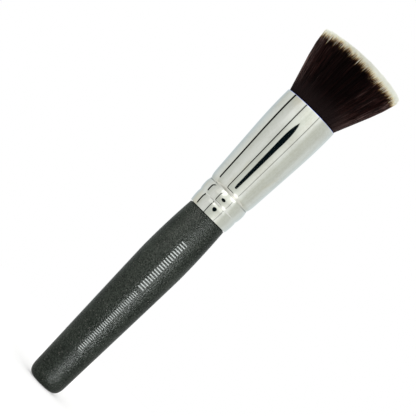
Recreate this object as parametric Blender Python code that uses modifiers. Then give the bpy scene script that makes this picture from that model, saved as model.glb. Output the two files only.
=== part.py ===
# Flat topped bronzer brush: a turned wooden handle, a drawn metal ferrule glued over its tenon,
# and a flared tuft of bristles that is tied at its root and locked in the ferrule with resin.
# Metres, +Z up. The brush stands on its butt, and the origin is the centre of the butt's flat face.

import math

import bmesh
import bpy
import numpy as np

# Handle, with heights above the butt
BUTT_FLAT_RADIUS = 0.0042
BUTT_RADIUS = 0.0075
BUTT_HEIGHT = 0.0045
SWELL_RADIUS = 0.00945
SWELL_HEIGHT = 0.0640
SHOULDER_RADIUS = 0.00855
SHOULDER_ROUND = 0.0003
HANDLE_LENGTH = 0.0881
TENON_RADIUS = 0.0079
TENON_LENGTH = 0.0200
TENON_CHAMFER = 0.0008

# Ferrule, with heights above its lower rim
FERRULE_LENGTH = 0.0550
FERRULE_WALL = 0.00035
RIM_RADIUS = 0.0089
RIM_ROUND = 0.0012
BAND_RADIUS = 0.00927
BAND_HEIGHT = 0.0038
VALLEY_RADIUS = 0.00915
VALLEY_HEIGHT = 0.0054
BEAD_RADIUS = 0.00965
BEAD_HEIGHT = 0.0084
GROOVE_RADIUS = 0.0092
GROOVE_HEIGHT = 0.0112
NECK_RADIUS = 0.01007
NECK_HEIGHT = 0.0162
CONE_RADIUS = 0.0114
MOUTH_CURVE_LENGTH = 0.0155
MOUTH_RADIUS = 0.01198
LIP_LENGTH = 0.0035
LIP_RADIUS = 0.01193

# Glue round the tenon, and the resin under the tuft
GLUE_START = 0.0020
GLUE_LENGTH = 0.0160
RESIN_THICKNESS = 0.0040

# Tuft, with heights above the ferrule's upper rim
ROOT_RECESS = 0.0005
ROOT_FLARE = 0.0060
ROOT_TIED = 0.0070
BELLY_RADIUS = 0.01615
BELLY_HEIGHT = 0.0127
EDGE_RADIUS = 0.0195
EDGE_HEIGHT = 0.0262
DOME_HEIGHT = 0.0026
LEAN = 0.0016
PALE_TIP_LENGTH = 0.0032
UNEVEN_LENGTH = 0.0006
STRAND_ROOT_RADIUS = 0.00040
STRAND_TIP_RADIUS = 0.00076
STRAND_MARGIN = 0.00025
STRAND_SINK = 0.0003
STRAND_COUNT = 330
STRAND_SIDES = 3

# Thread that ties the tuft's root
THREAD_DIAMETER = 0.0006
THREAD_PITCH = 0.00105
THREAD_INSET = 0.0008
THREAD_TURNS = 4
POINTS_A_TURN = 24

# Clearances
SEAT_GAP = 0.00025
SIDE_GAP = 0.0002
MERGE_DISTANCE = 0.00001

# Where each curve's corner stands, as shares of the stretch that it rounds
TAPER_CORNER_SHARE = 0.95
VALLEY_CORNER_SHARE = 0.33
BEAD_CORNER_SHARE = 0.45
NECK_CORNER_SHARES = (0.71, 0.25)
MOUTH_CORNER_SHARE = 0.55
EDGE_CORNER_SHARE = 0.62
STRAND_POINT_SHARE = 0.85

# Fineness
TURN_STEPS = 48
CURVE_STEPS = 5
CREASE_ANGLE = math.radians(28)
GOLDEN_ANGLE = math.pi * (3 - math.sqrt(5))
GOLDEN_SHARE = (math.sqrt(5) - 1) / 2
MILLIMETRES = 1000

# Where the pieces meet, above the butt
FERRULE_START = HANDLE_LENGTH + SEAT_GAP
FERRULE_END = FERRULE_START + FERRULE_LENGTH
ROOT_TOP = FERRULE_END - ROOT_RECESS
ROOT_WAIST = ROOT_TOP - ROOT_FLARE
ROOT_BOTTOM = ROOT_WAIST - ROOT_TIED
RESIN_TOP = ROOT_BOTTOM - SEAT_GAP
RESIN_BOTTOM = RESIN_TOP - RESIN_THICKNESS


def between(low, high, share):
    return low + (high - low) * share


# A smooth curve from start to end, which leaves and arrives along lines through the corner
def bow(start, corner, end, steps=CURVE_STEPS):
    points = []
    for i in range(steps + 1):
        t = i / steps
        weights = ((1 - t) ** 2, 2 * t * (1 - t), t ** 2)
        radius, height = (sum(w * v for w, v in zip(weights, values)) for values in zip(start, corner, end))
        points.append((radius, height))
    return points


# From a crest down to a dip, level at both ends, as half a cosine wave
def wave(start, end, steps):
    points = []
    for i in range(steps + 1):
        rise = (1 - math.cos(math.pi * i / steps)) / 2
        points.append((between(start[0], end[0], rise), between(start[1], end[1], i / steps)))
    return points


# One outline from several stretches, with each shared end kept once
def joined(*stretches):
    outline = []
    for stretch in stretches:
        for point in stretch:
            if not outline or math.dist(point, outline[-1]) > MERGE_DISTANCE:
                outline.append(point)
    return outline


# Radius at a height of an outline that is given from the bottom up, level beyond its ends
def radius_at(outline, height):
    radii, heights = zip(*outline)
    return float(np.interp(height, heights, radii))


# The handle from the tenon's end down to the butt
def handle_outline():
    tenon_top = HANDLE_LENGTH + TENON_LENGTH
    tenon = [
        (0, tenon_top),
        (TENON_RADIUS - TENON_CHAMFER, tenon_top),
        (TENON_RADIUS, tenon_top - TENON_CHAMFER),
        (TENON_RADIUS, HANDLE_LENGTH),
        (SHOULDER_RADIUS - SHOULDER_ROUND, HANDLE_LENGTH),
    ]
    shoulder_edge = (SHOULDER_RADIUS, HANDLE_LENGTH - SHOULDER_ROUND)
    swell = (SWELL_RADIUS, SWELL_HEIGHT)
    butt_edge = (BUTT_RADIUS, BUTT_HEIGHT)
    taper_corner = between(BUTT_HEIGHT, SWELL_HEIGHT, TAPER_CORNER_SHARE)
    slope = (SWELL_RADIUS - BUTT_RADIUS) / (taper_corner - BUTT_HEIGHT)
    upper = bow(shoulder_edge, (SWELL_RADIUS, between(SWELL_HEIGHT, HANDLE_LENGTH, 1 / 2)), swell)
    taper = bow(swell, (SWELL_RADIUS, taper_corner), butt_edge)
    butt = bow(butt_edge, (BUTT_RADIUS - slope * BUTT_HEIGHT, 0), (BUTT_FLAT_RADIUS, 0))
    return joined(tenon, upper, taper, butt, [(0, 0)])


# The ferrule's outer side from its lower rim up: band, valley, bead, sharp groove, cone and lip
def ferrule_outline():
    band = (BAND_RADIUS, BAND_HEIGHT)
    valley = (VALLEY_RADIUS, VALLEY_HEIGHT)
    bead = (BEAD_RADIUS, BEAD_HEIGHT)
    groove = (GROOVE_RADIUS, GROOVE_HEIGHT)
    neck = (NECK_RADIUS, NECK_HEIGHT)
    mouth_height = FERRULE_LENGTH - LIP_LENGTH
    cone_height = mouth_height - MOUTH_CURVE_LENGTH
    cone = (CONE_RADIUS, cone_height)
    mouth = (MOUTH_RADIUS, mouth_height)
    neck_corner = [between(a, b, share) for a, b, share in zip(groove, neck, NECK_CORNER_SHARES)]
    return joined(
        bow((RIM_RADIUS, 0), (BAND_RADIUS, RIM_ROUND), band, 3),
        wave(band, valley, 2),
        bow(valley, (BEAD_RADIUS, between(VALLEY_HEIGHT, BEAD_HEIGHT, VALLEY_CORNER_SHARE)), bead, 4),
        bow(bead, (BEAD_RADIUS, between(BEAD_HEIGHT, GROOVE_HEIGHT, BEAD_CORNER_SHARE)), groove, 3),
        bow(groove, neck_corner, neck, 4),
        bow(cone, (MOUTH_RADIUS, between(cone_height, mouth_height, MOUTH_CORNER_SHARE)), mouth, 4),
        [(LIP_RADIUS, FERRULE_LENGTH)])


# Radius of the ferrule's bore at a height above the butt
def bore_at(height):
    return radius_at(ferrule_outline(), height - FERRULE_START) - FERRULE_WALL


# Least radius of the ferrule's bore between two heights above the butt
def narrowest_bore(low, high):
    inside = [height for radius, height in ferrule_outline()]
    heights = [low, high] + [FERRULE_START + height for height in inside]
    return min(bore_at(height) for height in heights if low <= height <= high)


# The tuft's side, nearly straight from its root and then drawn in towards its edge
def tuft_outline(root_radius):
    root = (root_radius, -ROOT_RECESS - STRAND_SINK)
    belly = (BELLY_RADIUS, BELLY_HEIGHT)
    edge = (EDGE_RADIUS, EDGE_HEIGHT)
    slope = (BELLY_RADIUS - root_radius) / (BELLY_HEIGHT - root[1])
    corner_height = between(BELLY_HEIGHT, EDGE_HEIGHT, EDGE_CORNER_SHARE)
    corner = (BELLY_RADIUS + slope * (corner_height - BELLY_HEIGHT), corner_height)
    return joined([root], bow(belly, corner, edge))


def new_collection(name):
    collection = bpy.data.collections.new(name)
    bpy.context.scene.collection.children.link(collection)
    return collection


def new_material(name, colour, roughness, metallic):
    material = bpy.data.materials.new(name)
    material.use_nodes = True
    material.diffuse_color = (*colour, 1)
    shader = material.node_tree.nodes["Principled BSDF"]
    shader.inputs["Base Color"].default_value = (*colour, 1)
    shader.inputs["Roughness"].default_value = roughness
    shader.inputs["Metallic"].default_value = metallic
    return material


def new_object(name, data, collection, *materials):
    obj = bpy.data.objects.new(name, data)
    for material in materials:
        data.materials.append(material)
    collection.objects.link(obj)
    return obj


# A mesh of what an object's modifiers or curve settings make
def finished_mesh(obj):
    evaluated = obj.evaluated_get(bpy.context.evaluated_depsgraph_get())
    mesh = bpy.data.meshes.new_from_object(evaluated)
    mesh.name = obj.name
    return mesh


def shade_round(mesh):
    mesh.shade_smooth()
    mesh.set_sharp_from_angle(angle=CREASE_ANGLE)


# A turned piece, from an outline that runs down its outer side at +X
def turned(name, outline, collection, material, wall=None, ring=False):
    last = len(outline) - 1
    edges = [(i, i + 1) for i in range(last)] + ([(last, 0)] if ring else [])
    profile = bpy.data.meshes.new(name + "_profile")
    profile.from_pydata([(radius, 0, height) for radius, height in outline], edges, [])
    obj = new_object(name, profile, collection, material)
    screw = obj.modifiers.new("turn", "SCREW")
    screw.axis = "Z"
    screw.steps = TURN_STEPS
    screw.render_steps = TURN_STEPS
    screw.use_merge_vertices = True
    screw.merge_threshold = MERGE_DISTANCE
    if wall:
        shell = obj.modifiers.new("wall", "SOLIDIFY")
        shell.thickness = wall
        shell.offset = -1
        shell.use_even_offset = True
    mesh = finished_mesh(obj)
    obj.modifiers.clear()
    obj.data = mesh
    bpy.data.meshes.remove(profile)
    shade_round(mesh)
    return obj


# A flat ended round body between two heights, its radius given at each
def add_frustum(bm, low_radius, low, high_radius, high):
    made = bmesh.ops.create_cone(
        bm, cap_ends=True, segments=TURN_STEPS, radius1=low_radius, radius2=high_radius, depth=high - low)
    bmesh.ops.translate(bm, verts=made["verts"], vec=(0, 0, (low + high) / 2))


def mesh_from(bm, name):
    mesh = bpy.data.meshes.new(name)
    bm.to_mesh(mesh)
    bm.free()
    shade_round(mesh)
    return mesh


# A tube with closed ends along each path of (x, y, z, radius) points, round or of a given section
def add_paths(name, paths, collection, depth=0, section=None):
    curve = bpy.data.curves.new(name, "CURVE")
    curve.dimensions = "3D"
    curve.use_fill_caps = True
    curve.bevel_resolution = 1
    if section:
        curve.bevel_mode = "OBJECT"
        curve.bevel_object = section
    else:
        curve.bevel_depth = depth
    for path in paths:
        spline = curve.splines.new("POLY")
        spline.points.add(len(path) - 1)
        for point, (x, y, z, radius) in zip(spline.points, path):
            point.co = (x, y, z, 1)
            point.radius = radius
    return new_object(name, curve, collection)


# A closed mesh in place of a curve object, with the caps welded on
def as_mesh(obj, collection, *materials):
    mesh = finished_mesh(obj)
    mesh.materials.clear()
    bm = bmesh.new()
    bm.from_mesh(mesh)
    bmesh.ops.remove_doubles(bm, verts=bm.verts[:], dist=MERGE_DISTANCE)
    bmesh.ops.recalc_face_normals(bm, faces=bm.faces[:])
    bm.to_mesh(mesh)
    bm.free()
    name, place, curve = obj.name, obj.matrix_world.copy(), obj.data
    bpy.data.objects.remove(obj)
    bpy.data.curves.remove(curve)
    made = new_object(name, mesh, collection, *materials)
    made.matrix_world = place
    return made


def make_handle(collection):
    lacquer = new_material("charcoal_lacquer", (0.036, 0.042, 0.037), 0.32, 0.25)
    return turned("handle", handle_outline(), collection, lacquer)


# The adhesive between tenon and ferrule, a thin sleeve
def make_glue(collection):
    adhesive = new_material("adhesive", (0.78, 0.70, 0.52), 0.45, 0)
    low = FERRULE_START + GLUE_START
    high = low + GLUE_LENGTH
    inner = TENON_RADIUS + SIDE_GAP
    outer = narrowest_bore(low, high) - SIDE_GAP
    outline = [(inner, high), (outer, high), (outer, low), (inner, low)]
    return turned("handle_glue", outline, collection, adhesive, ring=True)


def make_ferrule(collection):
    metal = new_material("bright_metal", (0.70, 0.69, 0.66), 0.12, 1)
    outline = [(radius, FERRULE_START + height) for radius, height in reversed(ferrule_outline())]
    return turned("ferrule", outline, collection, metal, wall=FERRULE_WALL)


# The resin that locks the tuft, cast to the ferrule's cone
def make_resin(collection):
    resin = new_material("resin", (0.62, 0.52, 0.30), 0.3, 0)
    low_radius = bore_at(RESIN_BOTTOM) - SIDE_GAP
    high_radius = bore_at(RESIN_TOP) - SIDE_GAP
    bm = bmesh.new()
    add_frustum(bm, low_radius, RESIN_BOTTOM, high_radius, RESIN_TOP)
    return new_object("resin_plug", mesh_from(bm, "resin_plug"), collection, resin)


# The root is drawn in where the thread ties it, so that thread and gaps fit in the bore
def tied_radius():
    return bore_at(ROOT_BOTTOM) - THREAD_DIAMETER - 2 * SIDE_GAP


def thread_points():
    radius = tied_radius() + SIDE_GAP + THREAD_DIAMETER / 2
    start = ROOT_BOTTOM + THREAD_INSET
    points = []
    for i in range(THREAD_TURNS * POINTS_A_TURN + 1):
        turn = i / POINTS_A_TURN
        angle = 2 * math.pi * turn
        points.append((radius * math.cos(angle), radius * math.sin(angle), start + THREAD_PITCH * turn))
    return points


def make_thread(collection):
    cotton = new_material("thread", (0.80, 0.77, 0.70), 0.9, 0)
    points = thread_points()
    apart = POINTS_A_TURN // 2
    gaps = [math.dist(a, b) for i, a in enumerate(points) for b in points[i + apart:]]
    print("least gap of the thread to itself, mm:", round((min(gaps) - THREAD_DIAMETER) * MILLIMETRES, 3))
    path = [(x, y, z, 1) for x, y, z in points]
    tube = add_paths("binding_thread", [path], collection, depth=THREAD_DIAMETER / 2)
    thread = as_mesh(tube, collection, cotton)
    shade_round(thread.data)
    return thread


# Each strand stands at the same share of the tuft's radius all the way up, on a sunflower's
# spiral, so that no two of them cross. It has a point at the root, the belly, where its pale
# tip begins and at its end, each with the strand's radius there.
def strand_paths(root_radius):
    outline = tuft_outline(root_radius)
    root_height = outline[0][1]
    paths = []
    for k in range(STRAND_COUNT):
        share = math.sqrt((k + 1 / 2) / STRAND_COUNT)
        angle = k * GOLDEN_ANGLE
        uneven = UNEVEN_LENGTH * ((k * GOLDEN_SHARE) % 1 - 1 / 2)
        tip = EDGE_HEIGHT + DOME_HEIGHT * (1 - share ** 2) + uneven
        path = []
        for height in (root_height, BELLY_HEIGHT, tip - PALE_TIP_LENGTH, tip):
            rise = (height - root_height) / (EDGE_HEIGHT - root_height)
            thick = between(STRAND_ROOT_RADIUS, STRAND_TIP_RADIUS, rise)
            reach = share * (radius_at(outline, height) - thick)
            if height == tip:
                thick *= STRAND_POINT_SHARE
            x = reach * math.cos(angle) + LEAN * rise
            path.append((x, reach * math.sin(angle), FERRULE_END + height, thick))
        paths.append(path)
    return paths


# Least clear space between strands, measured at levels from their roots to their tips
def least_strand_gap(paths, levels=40):
    paths = np.array(paths)
    low = paths[:, 0, 2].max()
    high = paths[:, -1, 2].min()
    least = math.inf
    for height in np.linspace(low, high, levels):
        places = np.array(
            [[np.interp(height, path[:, 2], path[:, i]) for i in (0, 1, 3)] for path in paths])
        away = np.hypot(*(places[:, None, :2] - places[None, :, :2]).transpose(2, 0, 1))
        clear = away - places[:, None, 2] - places[None, :, 2]
        np.fill_diagonal(clear, math.inf)
        least = min(least, clear.min())
    return least


# The packed root with its strands fused to its top, dark below and pale at the tips
def make_tuft(collection, cutters):
    dark = new_material("dark_bristles", (0.050, 0.026, 0.022), 0.6, 0)
    pale = new_material("pale_bristle_tips", (0.80, 0.72, 0.58), 0.65, 0)
    top_radius = bore_at(ROOT_TOP) - SIDE_GAP
    waist_radius = tied_radius()
    bm = bmesh.new()
    add_frustum(bm, waist_radius, ROOT_WAIST, top_radius, ROOT_TOP)
    waist = min(bm.faces, key=lambda face: face.calc_center_median().z)
    drawn = bmesh.ops.extrude_discrete_faces(bm, faces=[waist])["faces"]
    bmesh.ops.translate(bm, verts=drawn[0].verts, vec=(0, 0, -ROOT_TIED))
    tuft = new_object("bristle_tuft", mesh_from(bm, "bristle_tuft"), collection, dark, pale)

    paths = strand_paths(top_radius - STRAND_MARGIN)
    print("least gap between strands, mm:", round(least_strand_gap(paths) * MILLIMETRES, 3))
    corners = bpy.data.curves.new("strand_section", "CURVE")
    corners.dimensions = "2D"
    outline = corners.splines.new("POLY")
    outline.points.add(STRAND_SIDES - 1)
    outline.use_cyclic_u = True
    for i, point in enumerate(outline.points):
        angle = 2 * math.pi * i / STRAND_SIDES
        point.co = (math.cos(angle), math.sin(angle), 0, 1)
    section = new_object("strand_section", corners, cutters)
    strands = as_mesh(add_paths("strands", paths, cutters, section=section), cutters, dark, pale)
    bpy.data.objects.remove(section)
    bpy.data.curves.remove(corners)
    pale_from = FERRULE_END + between(BELLY_HEIGHT, EDGE_HEIGHT - PALE_TIP_LENGTH, 1 / 2)
    for face in strands.data.polygons:
        lowest = min(strands.data.vertices[i].co.z for i in face.vertices)
        face.material_index = int(lowest > pale_from)
    strands.hide_render = True
    strands.display_type = "WIRE"
    join = tuft.modifiers.new("fuse", "BOOLEAN")
    join.operation = "UNION"
    join.object = strands
    return tuft


def main():
    for obj in list(bpy.data.objects):
        bpy.data.objects.remove(obj)
    brush = new_collection("bronzer_brush")
    cutters = new_collection("cutters")
    make_handle(brush)
    make_glue(brush)
    make_ferrule(brush)
    make_resin(brush)
    make_thread(brush)
    make_tuft(brush, cutters)


main()
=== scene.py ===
import math

import bpy
import numpy as np
from mathutils import Matrix, Vector


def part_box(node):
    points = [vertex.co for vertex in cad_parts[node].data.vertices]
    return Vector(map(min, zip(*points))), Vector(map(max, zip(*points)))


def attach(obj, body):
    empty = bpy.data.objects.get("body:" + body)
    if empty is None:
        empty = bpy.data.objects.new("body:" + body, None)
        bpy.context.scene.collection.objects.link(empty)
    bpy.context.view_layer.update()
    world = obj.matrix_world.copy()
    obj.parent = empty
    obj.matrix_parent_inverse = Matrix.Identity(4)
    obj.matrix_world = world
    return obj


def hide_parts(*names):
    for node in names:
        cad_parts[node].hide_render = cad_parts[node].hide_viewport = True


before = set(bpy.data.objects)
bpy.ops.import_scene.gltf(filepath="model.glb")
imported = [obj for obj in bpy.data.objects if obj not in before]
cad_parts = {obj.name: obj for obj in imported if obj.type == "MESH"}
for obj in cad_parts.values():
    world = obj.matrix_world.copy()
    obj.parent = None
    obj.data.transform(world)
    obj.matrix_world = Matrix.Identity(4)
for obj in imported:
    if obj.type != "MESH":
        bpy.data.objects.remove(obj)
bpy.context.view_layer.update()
scene = bpy.context.scene
tiny = 1e-7
millimetre = 0.001
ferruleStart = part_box("ferrule")[0].z
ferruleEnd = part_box("ferrule")[1].z
print("frame loaded:", ", ".join(sorted(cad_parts)))


# One shader node with its settings; each input is a value, or the socket that feeds it
def addNode(tree, kind, inputs=None, **settings):
    node = tree.nodes.new("ShaderNode" + kind)
    for key, value in settings.items():
        setattr(node, key, value)
    for key, value in (inputs or {}).items():
        if isinstance(value, bpy.types.NodeSocket):
            tree.links.new(value, node.inputs[key])
        else:
            node.inputs[key].default_value = value
    return node


def link(tree, output, node, name):
    tree.links.new(output, node.inputs[name])


def mathNode(tree, operation, first, second=0.0, third=0.0):
    return addNode(tree, "Math", {0: first, 1: second, 2: third}, operation=operation).outputs[0]


# 0 below low, 1 above high and a soft step between, also falling where low is above high
def softStep(tree, value, low, high):
    return addNode(tree, "MapRange", {"Value": value, "From Min": low, "From Max": high},
                   interpolation_type="SMOOTHSTEP").outputs["Result"]


def noiseNode(tree, vector, scale, detail=2.0, roughness=0.5):
    return addNode(tree, "TexNoise", {
        "Vector": vector, "Scale": float(scale), "Detail": detail, "Roughness": roughness}).outputs["Fac"]


def bumpNode(tree, height, strength, distance, **under):
    return addNode(tree, "Bump", {
        "Height": height, "Strength": strength, "Distance": distance, **under}).outputs["Normal"]


# A colour for each place along a value from 0 to 1
def rampNode(tree, value, stops):
    node = addNode(tree, "ValToRGB", {"Fac": value})
    elements = node.color_ramp.elements
    while len(elements) > 1:
        elements.remove(elements[-1])
    elements[0].position, elements[0].color = stops[0][0], (*stops[0][1], 1)
    for place, colour in stops[1:]:
        elements.new(place).color = (*colour, 1)
    return node.outputs["Color"]


def mixColour(tree, factor, first, second, blend="MIX"):
    node = addNode(tree, "Mix", data_type="RGBA", blend_type=blend)
    for socket, value in ((node.inputs[0], factor), (node.inputs[6], first), (node.inputs[7], second)):
        if isinstance(value, bpy.types.NodeSocket):
            tree.links.new(value, socket)
        else:
            socket.default_value = (*value, 1) if isinstance(value, tuple) else value
    return node.outputs[2]


# A colour with one value multiplied into each channel, or added to it
def mixValue(tree, colour, value, blend):
    even = addNode(tree, "CombineXYZ", {0: value, 1: value, 2: value}).outputs[0]
    return mixColour(tree, 1.0, colour, even, blend)


# A new material, its tree, its principled shader and its object coordinates
def newMaterial(name, **plain):
    material = bpy.data.materials.new(name)
    material.use_nodes = True
    tree = material.node_tree
    shader = tree.nodes["Principled BSDF"]
    for key, value in plain.items():
        shader.inputs[key].default_value = value
    return material, tree, shader, addNode(tree, "TexCoord").outputs["Object"]


# Points and faces into a mesh object that rides on the brush, with its own map where it has one
def newPiece(name, points, quads, triangles, material, slotName,
             quadMap=None, triangleMap=None, smooth=True, crease=None):
    mesh = bpy.data.meshes.new(name)
    corners = np.concatenate([quads.ravel(), triangles.ravel()]).astype(np.int32)
    starts = np.concatenate([4 * np.arange(len(quads)), 4 * len(quads) + 3 * np.arange(len(triangles))])
    mesh.vertices.add(len(points))
    mesh.vertices.foreach_set("co", points.astype(np.float32).ravel())
    mesh.loops.add(len(corners))
    mesh.loops.foreach_set("vertex_index", corners)
    mesh.polygons.add(len(starts))
    mesh.polygons.foreach_set("loop_start", starts.astype(np.int32))
    mesh.update(calc_edges=True)
    if quadMap is not None:
        places = np.concatenate([quadMap.reshape(-1, 2), triangleMap.reshape(-1, 2)])
        mesh.uv_layers.new(name="OFBake").data.foreach_set("uv", places.astype(np.float32).ravel())
    mesh.materials.append(material)
    if smooth:
        mesh.shade_smooth()
    else:
        mesh.shade_flat()
    piece = bpy.data.objects.new(name, mesh)
    scene.collection.objects.link(piece)
    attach(piece, "root")
    if crease:
        mesh.set_sharp_from_angle(angle=math.radians(crease))
    return piece


# Quadratic curve (1-t)^2 start + 2t(1-t) corner + t^2 end, for t from 0 to 1
def bow(start, corner, end, steps):
    t = np.linspace(0, 1, steps + 1)[:, None]
    return (1 - t) ** 2 * np.array(start) + 2 * t * (1 - t) * np.array(corner) + t ** 2 * np.array(end)


# Half a cosine wave from start to end: the radius goes by (1 - cos pi t) / 2 and the height by t
def wave(start, end, steps):
    t = np.linspace(0, 1, steps + 1)
    rise = (1 - np.cos(np.pi * t)) / 2
    return np.stack([start[0] + (end[0] - start[0]) * rise, start[1] + (end[1] - start[1]) * t], axis=1)


# A straight stretch cut into even steps
def line(start, end, steps):
    return np.linspace(start, end, steps + 1)


# Stretches one after the other, without the points that repeat
def joined(*stretches):
    points = np.vstack(stretches)
    keep = np.linalg.norm(np.diff(points, axis=0), axis=1) > tiny
    return points[np.concatenate([[True], keep])]


# A turned piece: point (i, j) of its grid is (r_i cos a_j, r_i sin a_j, z_i), and a row whose radius
# is zero is one pole. Its map has the angle across and the length along the profile upwards.
def turnedPiece(name, profile, around, material, slotName, crease, ring=False):
    count = len(profile)
    radius, height = profile.T
    angle = 2 * np.pi * np.arange(around) / around
    grid = np.stack([radius[:, None] * np.cos(angle), radius[:, None] * np.sin(angle),
                     np.repeat(height[:, None], around, axis=1)], axis=-1)
    index = np.arange(count * around).reshape(count, around)
    pole = radius < tiny
    index[pole] = index[pole][:, :1]
    lower = np.arange(count if ring else count - 1)
    upper = (lower + 1) % count
    turned = np.roll(index, -1, axis=1)
    faces = np.stack([index[lower], turned[lower], turned[upper], index[upper]], axis=-1)
    closed = np.vstack([profile, profile[:1]]) if ring else profile
    along = np.concatenate([[0], np.cumsum(np.linalg.norm(np.diff(closed, axis=0), axis=1))])
    along = along / along[-1]
    left, right = np.arange(around) / around, (np.arange(around) + 1) / around
    across = np.stack([left, right, right, left], axis=-1)
    upwards = np.stack([along[lower], along[lower], along[lower + 1], along[lower + 1]], axis=-1)
    places = np.stack(np.broadcast_arrays(across[None], upwards[:, None]), axis=-1)
    plain = ~(pole[lower] | pole[upper])
    fans = ((pole[lower], [0, 2, 3]), (pole[upper], [0, 1, 2]))      # rows at a pole, and the corners kept
    triangles = np.concatenate([faces[rows][:, :, kept].reshape(-1, 3) for rows, kept in fans])
    triangleMap = np.concatenate([places[rows][:, :, kept].reshape(-1, 3, 2) for rows, kept in fans])
    quads = faces[plain].reshape(-1, 4)
    used, numbers = np.unique(np.concatenate([quads.ravel(), triangles.ravel()]), return_inverse=True)
    return newPiece(name, grid.reshape(-1, 3)[used], numbers[:quads.size].reshape(-1, 4),
                    numbers[quads.size:].reshape(-1, 3), material, slotName,
                    places[plain].reshape(-1, 4, 2), triangleMap, crease=crease)


handleShape = {         # radius and height above the butt
    "buttFlat": (0.0042, 0), "buttEdge": (0.0075, 0.0045), "swell": (0.00945, 0.0640),
    "taperCorner": 0.95,          # share of the way from butt edge to swell
    "shoulder": 0.00855, "shoulderRound": 0.0003, "length": 0.0881,
    "tenon": 0.0079, "tenonLength": 0.0200, "tenonChamfer": 0.0008,
    "around": 160, "crease": 35,
}
lacquerLook = {         # a noise has its features to a metre, its detail and, in one case, its roughness
    "dark": (0.0044, 0.0072, 0.0048), "light": (0.0375, 0.0455, 0.0370), "fleck": (0.100, 0.094, 0.086),
    "grain": (1900, 3.0, 0.65), "cloud": (90, 4.0), "ripple": (1350, 1.0),
    "cloudGain": 0.30, "lightRange": (0.36, 0.66),
    "flecks": 1500, "fleckChoice": (0.78, 0.95), "fleckReach": (0.42, 0.12), "fleckHeight": 0.6,
    "specular": 0.06, "roughness": 0.38, "roughnessGain": 0.60,
    "grainBump": (0.60, 0.00026), "rippleBump": (0.6, 0.00030),      # strength and height
}


# Speckled lacquer: a fine grain in wide blotches, pale flecks, and a ripple under the grain's bumps
def lacquer():
    look = lacquerLook
    material, tree, shader, place = newMaterial("speckled_lacquer")
    shader.inputs["Specular IOR Level"].default_value = look["specular"]
    grain = noiseNode(tree, place, *look["grain"])
    blotch = mathNode(tree, "MULTIPLY_ADD", noiseNode(tree, place, *look["cloud"]),
                      look["cloudGain"], -look["cloudGain"] / 2)
    tone = softStep(tree, mathNode(tree, "ADD", grain, blotch), *look["lightRange"])
    body = mixColour(tree, tone, look["dark"], look["light"])
    flecks = addNode(tree, "TexVoronoi", {"Vector": place, "Scale": look["flecks"], "Randomness": 1.0})
    choice = addNode(tree, "SeparateColor", {"Color": flecks.outputs["Color"]}).outputs["Red"]
    fleck = mathNode(tree, "MULTIPLY", softStep(tree, choice, *look["fleckChoice"]),
                     softStep(tree, flecks.outputs["Distance"], *look["fleckReach"]))
    link(tree, mixColour(tree, fleck, body, look["fleck"]), shader, "Base Color")
    rough = mathNode(tree, "MULTIPLY_ADD", grain, look["roughnessGain"],
                     look["roughness"] - look["roughnessGain"] / 2)
    link(tree, rough, shader, "Roughness")
    relief = mathNode(tree, "ADD", grain, mathNode(tree, "MULTIPLY", fleck, look["fleckHeight"]))
    waves = bumpNode(tree, noiseNode(tree, place, *look["ripple"]), *look["rippleBump"])
    link(tree, bumpNode(tree, relief, *look["grainBump"], Normal=waves), shader, "Normal")
    return material


# From the butt's pole up the swelling side, over the shoulder and the tenon to its pole; each stretch
# ends with its number of steps
def handleProfile():
    shape = handleShape
    buttFlat, buttEdge, swell, length = (shape[key] for key in ("buttFlat", "buttEdge", "swell", "length"))
    taperHeight = buttEdge[1] + (swell[1] - buttEdge[1]) * shape["taperCorner"]
    slope = (swell[0] - buttEdge[0]) / (taperHeight - buttEdge[1])
    shoulder = (shape["shoulder"], length - shape["shoulderRound"])
    seat = (shape["shoulder"] - shape["shoulderRound"], length)
    top, tenon, chamfer = length + shape["tenonLength"], shape["tenon"], shape["tenonChamfer"]
    return joined(
        line((0, 0), buttFlat, 4),
        bow(buttFlat, (buttEdge[0] - slope * buttEdge[1], 0), buttEdge, 16),
        bow(buttEdge, (swell[0], taperHeight), swell, 40),
        bow(swell, (swell[0], (swell[1] + length) / 2), shoulder, 24),
        bow(shoulder, (shape["shoulder"], length), seat, 5),
        line(seat, (tenon, length), 2),
        line((tenon, length), (tenon, top - chamfer), 8),
        line((tenon, top - chamfer), (tenon - chamfer, top), 2),
        line((tenon - chamfer, top), (0, top), 3))


handle = turnedPiece("handle_lacquered", handleProfile(), handleShape["around"], lacquer(),
                     "handle_lacquer", handleShape["crease"])
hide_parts("handle")

marksLook = {           # middle in degrees from -Y towards +X, and how far the ink goes out and in
    "ink": (0.66, 0.70, 0.69), "worn": (0.36, 0.39, 0.38), "wear": (2600, 3.0), "wornRange": (0.44, 0.62),
    "roughness": 0.5, "middle": 8.0, "proud": 0.00003, "sunk": 0.00006, "columns": 7, "crease": 40,
}
marksShape = {          # first and last height, pitch, thickness and width across
    "bold": (0.0520, 0.0745, 0.00120, 0.00042, 0.0026),
    "fine": (0.0200, 0.0495, 0.00092, 0.00025, 0.0018),
}


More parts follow.
